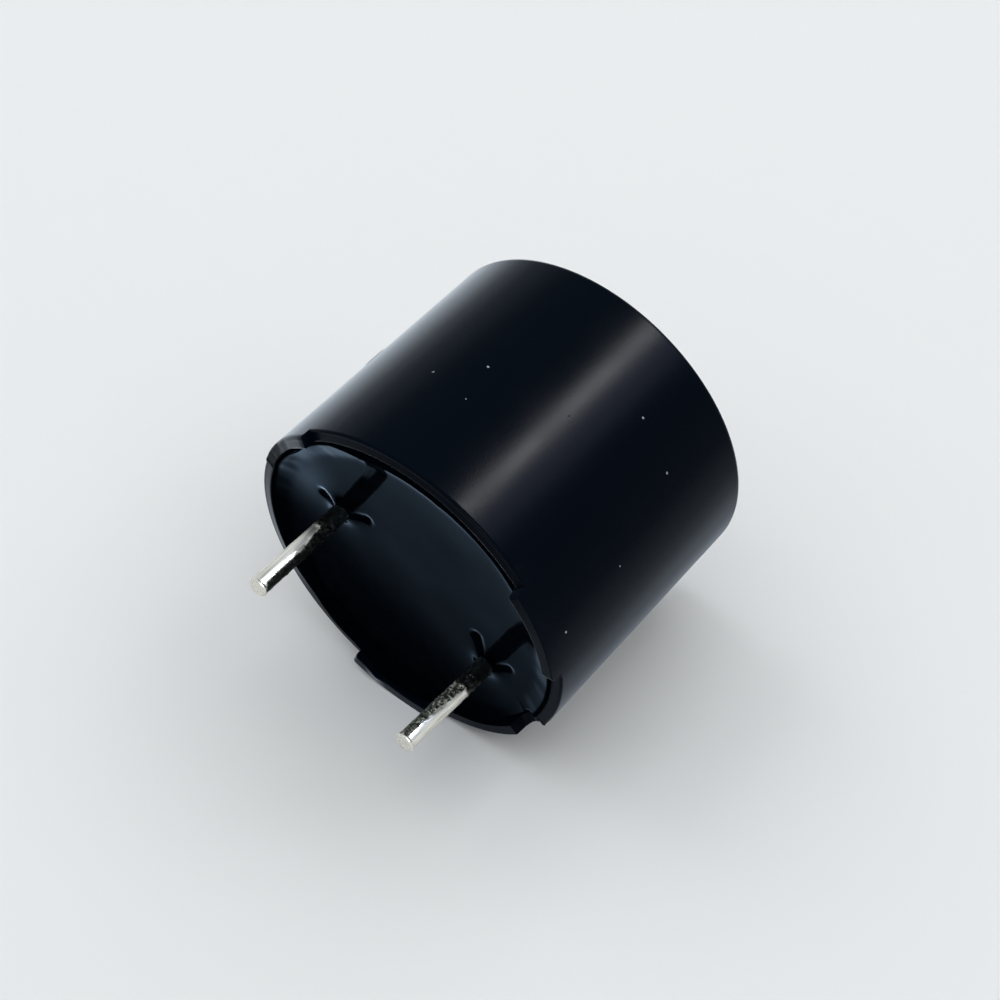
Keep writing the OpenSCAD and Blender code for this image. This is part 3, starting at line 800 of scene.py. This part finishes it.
def dress_inside():
    """Gives each piece inside the case its own finish."""
    finishes = {
        "diaphragm": plain_finish("spring steel rolled bright", "#9da0a2", "#b9bcbe", 1.0, 0.25, 0.3),
        "armature": plain_finish("iron blanked bare", "#7d7f82", "#969899", 1.0, 0.45, 0.2),
        "support_ring": plain_finish("brass turned", "#a98542", "#c19c55", 1.0, 0.35, 0.2),
        "magnet_ring": plain_finish("ferrite sintered matt", "#2b2927", "#3d3a38", 0.0, 0.75, 0.08),
        "pole_core": plain_finish("iron headed bare", "#85888b", "#9ea1a3", 1.0, 0.4, 0.2),
        "yoke_plate": plain_finish("iron plate zinc plated", "#9b9d9c", "#b3b5b2", 1.0, 0.4, 0.4),
        "coil_bobbin": plain_finish("nylon moulded natural", "#d5cdb6", "#e8e1cd", 0.0, 0.5, 0.3),
        "coil_winding": plain_finish("copper wire enamelled", "#8a4420", "#b4602f", 0.6, 0.3, 0.1),
        "terminal_board": plain_finish("laminate of phenolic paper", "#6f4f29", "#8f6c3f", 0.0, 0.55, 0.25),
        "solder": plain_finish("solder reflowed satin", "#a5a7a4", "#c4c6c2", 1.0, 0.35, 0.15),
    }
    shared = {
        "coil_lead_1": "coil_winding", "coil_lead_2": "coil_winding",
        "solder_joint_1": "solder", "solder_joint_2": "solder",
    }
    for node in NODES:
        finish = finishes.get(shared.get(node, node))
        if finish:
            for slot in NODES[node].material_slots:
                slot.material = finish


# ---------------------------------------------------------------- stage and light


def add_table():
    across = TABLE_UP.cross(CASE_AXIS).normalized()
    signs = ((-1, -1), (1, -1), (1, 1), (-1, 1))
    corners = [TABLE_AT + TABLE_HALF * (s * across + t * CASE_AXIS) for s, t in signs]
    mesh = bpy.data.meshes.new("table")
    mesh.from_pydata([tuple(c) for c in corners], [], [(0, 1, 2, 3)])
    mesh.update()
    if mesh.polygons[0].normal.dot(TABLE_UP) < 0:
        mesh.flip_normals()
    mesh.materials.append(table_top())
    table = bpy.data.objects.new("table", mesh)
    bpy.context.scene.collection.objects.link(table)


# Lights and their sizes and distances are in metres and watts
LIT_MIDDLE = Vector((0.0, 0.0, 5.0)) * MM
WORLD_FILL = 0.33

# Soft boxes over the table: turn from the case's axis and height, in degrees, and power
SOFT_BOXES = (
    (0, 80, 0.235), (90, 50, 0.134), (135, 50, 0.305), (180, 50, 0.196), (225, 50, 0.1), (270, 50, 0.33),
    (315, 50, 0.141),
)
SOFT_BOX_SIZE = 0.22
SOFT_BOX_AWAY = 0.4

# Lamps that only gloss shows: direction, width, length, power and colour. The window makes the streak on the
# side of the case, its glow the soft edges of the streak, and the card a light line on the near rim
GLOSS_LAMPS = {
    "window": (Vector((0.163, -0.824, -0.543)), 0.028, 0.11, 1.38, "#ffffff"),
    "window_glow": (Vector((-0.02, -0.84, -0.54)), 0.12, 0.12, 0.43, "#cdd6ff"),
    "card": (Vector((-0.03, -0.5, 0.87)), 0.08, 0.08, 0.5, "#ffffff"),
}
GLOSS_LAMP_AWAY = 0.35


def add_lamp(name, toward, distance, width, length, power, gloss=False, tone="#ffffff"):
    """Soft box that faces the buzzer; one with gloss shows on its surfaces and lights nothing."""
    data = bpy.data.lights.new(name, "AREA")
    data.shape = "RECTANGLE"
    data.size, data.size_y = width, length
    data.energy = power
    data.color = linear(tone)[:3]
    lamp = bpy.data.objects.new(name, data)
    back = toward.normalized()
    side = CASE_AXIS.cross(back).normalized()
    axes = Matrix((side, back.cross(side), back)).transposed()
    lamp.matrix_world = Matrix.Translation(LIT_MIDDLE + back * distance) @ axes.to_4x4()
    lamp.visible_glossy = gloss
    lamp.visible_diffuse = not gloss
    bpy.context.scene.collection.objects.link(lamp)


def add_world():
    """Even studio light and a plain pale backdrop; gloss sees that backdrop, a little cooler overhead."""
    world = bpy.data.worlds.new("studio")
    world.use_nodes = True
    tree = world.node_tree
    tree.nodes.clear()
    seen = add_node(tree, "ShaderNodeBackground", inputs={"Color": linear("#eceef0"), "Strength": 1.0})
    fill = add_node(tree, "ShaderNodeBackground", inputs={"Color": linear("#f6f9fc"), "Strength": WORLD_FILL})
    heading = add_node(tree, "ShaderNodeTexCoord").outputs["Generated"]
    height = add_node(tree, "ShaderNodeVectorMath", {"operation": "DOT_PRODUCT"}, inputs={1: TABLE_UP},
                      links={0: heading})
    ceiling = add_node(tree, "ShaderNodeMapRange", {"interpolation_type": "SMOOTHSTEP"},
                       inputs={"From Min": 0.05, "From Max": 0.5}, links={"Value": height.outputs["Value"]})
    tone = add_node(tree, "ShaderNodeMix", {"data_type": "RGBA"},
                    inputs={"A": linear("#eceef0"), "B": linear("#dfe6ee")},
                    links={"Factor": ceiling.outputs["Result"]})
    glow = add_node(tree, "ShaderNodeBackground", inputs={"Strength": 1.0},
                    links={"Color": tone.outputs["Result"]})
    path = add_node(tree, "ShaderNodeLightPath")
    gloss = add_node(tree, "ShaderNodeMath", {"operation": "MAXIMUM"},
                     links={0: path.outputs["Is Glossy Ray"], 1: path.outputs["Is Transmission Ray"]})
    lit = add_node(tree, "ShaderNodeMixShader",
                   links={0: gloss.outputs[0], 1: fill.outputs[0], 2: glow.outputs[0]})
    both = add_node(tree, "ShaderNodeMixShader",
                    links={0: path.outputs["Is Camera Ray"], 1: lit.outputs[0], 2: seen.outputs[0]})
    add_node(tree, "ShaderNodeOutputWorld", links={"Surface": both.outputs[0]})
    bpy.context.scene.world = world


def add_lights():
    across = TABLE_UP.cross(CASE_AXIS)
    for turn, height, power in SOFT_BOXES:
        a, e = math.radians(turn), math.radians(height)
        level = math.cos(a) * CASE_AXIS + math.sin(a) * across
        toward = math.sin(e) * TABLE_UP + math.cos(e) * level
        add_lamp(f"soft_box_{turn}", toward, SOFT_BOX_AWAY, SOFT_BOX_SIZE, SOFT_BOX_SIZE, power)
    for name, (toward, width, length, power, tone) in GLOSS_LAMPS.items():
        add_lamp(name, toward, GLOSS_LAMP_AWAY, width, length, power, gloss=True, tone=tone)
    add_world()


# ---------------------------------------------------------------- build

bpy.context.scene.view_settings.view_transform = "Standard"
add_camera()
add_table()
add_lights()
wire_finish = tinned_copper()
add_case(moulded_pbt())
add_seal(cast_epoxy())
add_lead("lead_wire_1", LEAD_X[0], LEAD_LEAN[0], FILM_1, 41, "pin_1", wire_finish)
add_lead("lead_wire_2", LEAD_X[1], LEAD_LEAN[1], FILM_2, 51, "pin_2", wire_finish)
add_dust("dust_specks", SPECKS, 0.1, 5, lint())
black_soot = soot()
add_dust("soot_specks", DARK_SPECKS, 0.3, 8, black_soot)
add_dust("soot_line", SOOT_LINE, 0.1, 9, black_soot)
dress_inside()
